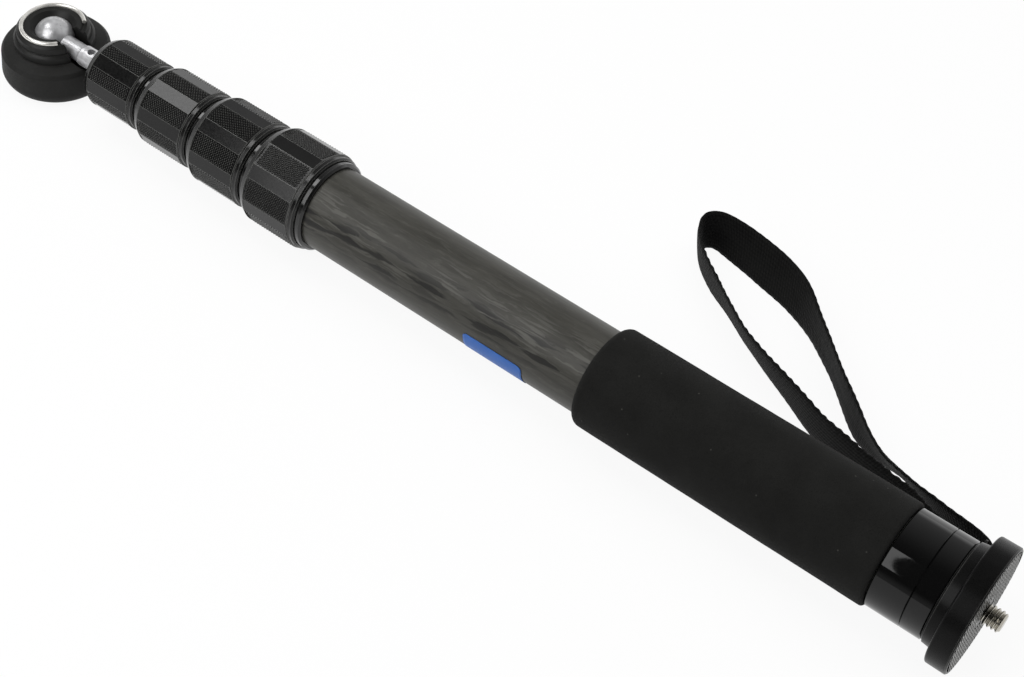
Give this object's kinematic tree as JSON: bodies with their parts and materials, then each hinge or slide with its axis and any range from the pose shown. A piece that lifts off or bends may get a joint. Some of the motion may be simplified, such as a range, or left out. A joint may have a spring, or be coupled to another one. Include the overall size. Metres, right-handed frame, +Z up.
{
  "type": "camera monopod",
  "caption": "Collapsed carbon-fibre camera monopod with twist locks, foam grip, camera platform, wrist strap and a swivelling ball foot.",
  "frame": {"origin": "centre of the foot's sole, on the floor that the pole lies on", "axes": "+X along the pole from the foot to the camera platform, +Y towards the side with the wrist strap, +Z up"},
  "size_m": [0.3877, 0.1058, 0.0401],
  "materials": {
    "foot_rubber": "matte",
    "black_plastic": "matte",
    "wiper_rubber": "matte",
    "chrome_wire": "bright",
    "bright_steel": "satin",
    "carbon_tube": "satin carbon fibre",
    "black_alloy": "black anodised, satin",
    "grip_foam": "matte closed-cell foam",
    "cap_gloss": "gloss",
    "pad_rubber": "ribbed, matte",
    "label_blue": "plain blue film",
    "strap_weave": "woven, matte"
  },
  "bodies": {
    "upper_section": {"main_tube": "carbon_tube", "label_patch": "label_blue", "lock_ferrule_1": "black_alloy", "lock_collet_1": "black_plastic", "foam_grip": "grip_foam", "top_cap": "cap_gloss", "strap_plate": "black_alloy", "wrist_strap": "strap_weave", "camera_platform": "black_alloy", "platform_pad": "pad_rubber", "camera_stud": "bright_steel", "platform_bolt": "bright_steel", "platform_washer": "bright_steel"},
    "section_2": {"tube_2": "carbon_tube", "tube_bush_2": "black_plastic", "lock_ferrule_2": "black_alloy", "lock_collet_2": "black_plastic"},
    "section_3": {"tube_3": "carbon_tube", "tube_bush_3": "black_plastic", "lock_ferrule_3": "black_alloy", "lock_collet_3": "black_plastic"},
    "section_4": {"tube_4": "carbon_tube", "tube_bush_4": "black_plastic", "lock_ferrule_4": "black_alloy", "lock_collet_4": "black_plastic"},
    "section_5": {"tube_5": "carbon_tube", "tube_bush_5": "black_plastic", "end_plug": "black_alloy"},
    "lock_1": {"lock_collar_1": "black_alloy", "lock_wiper_1": "wiper_rubber"},
    "lock_2": {"lock_collar_2": "black_alloy", "lock_wiper_2": "wiper_rubber"},
    "lock_3": {"lock_collar_3": "black_alloy", "lock_wiper_3": "wiper_rubber"},
    "lock_4": {"lock_collar_4": "black_alloy", "lock_wiper_4": "wiper_rubber"},
    "ball_stem": {"ball_stem": "bright_steel"},
    "foot": {"foot_base": "foot_rubber", "foot_cup": "black_plastic", "foot_ring": "chrome_wire", "foot_seat": "black_plastic", "foot_screw": "bright_steel", "foot_washer": "bright_steel"}
  },
  "joints": [
    {"name": "section_2_slide", "type": "slide", "parent": "upper_section", "child": "section_2", "axis": [-0.9999, 0, -0.0118], "range_m": [0, 0.205]},
    {"name": "section_3_slide", "type": "slide", "parent": "section_2", "child": "section_3", "axis": [-0.9999, 0, -0.0118], "range_m": [0, 0.228]},
    {"name": "section_4_slide", "type": "slide", "parent": "section_3", "child": "section_4", "axis": [-0.9999, 0, -0.0118], "range_m": [0, 0.252]},
    {"name": "section_5_slide", "type": "slide", "parent": "section_4", "child": "section_5", "axis": [-0.9999, 0, -0.0118], "range_m": [0, 0.276]},
    {"name": "lock_1_twist", "type": "hinge", "parent": "upper_section", "child": "lock_1", "pos_m": [0, 0, 0.0158], "axis": [0.9999, 0, 0.0118], "range_deg": [0, 90]},
    {"name": "lock_2_twist", "type": "hinge", "parent": "section_2", "child": "lock_2", "pos_m": [0, 0, 0.0158], "axis": [0.9999, 0, 0.0118], "range_deg": [0, 90]},
    {"name": "lock_3_twist", "type": "hinge", "parent": "section_3", "child": "lock_3", "pos_m": [0, 0, 0.0158], "axis": [0.9999, 0, 0.0118], "range_deg": [0, 90]},
    {"name": "lock_4_twist", "type": "hinge", "parent": "section_4", "child": "lock_4", "pos_m": [0, 0, 0.0158], "axis": [0.9999, 0, 0.0118], "range_deg": [0, 90]},
    {"name": "ball_spin", "type": "hinge", "parent": "section_5", "child": "ball_stem", "pos_m": [0, 0, 0.0158], "axis": [0.9999, 0, 0.0118], "continuous": true},
    {"name": "foot_tilt", "type": "hinge", "parent": "ball_stem", "child": "foot", "pos_m": [0, 0, 0.0158], "axis": [0, 1, 0], "range_deg": [0, 122]}
  ]
}
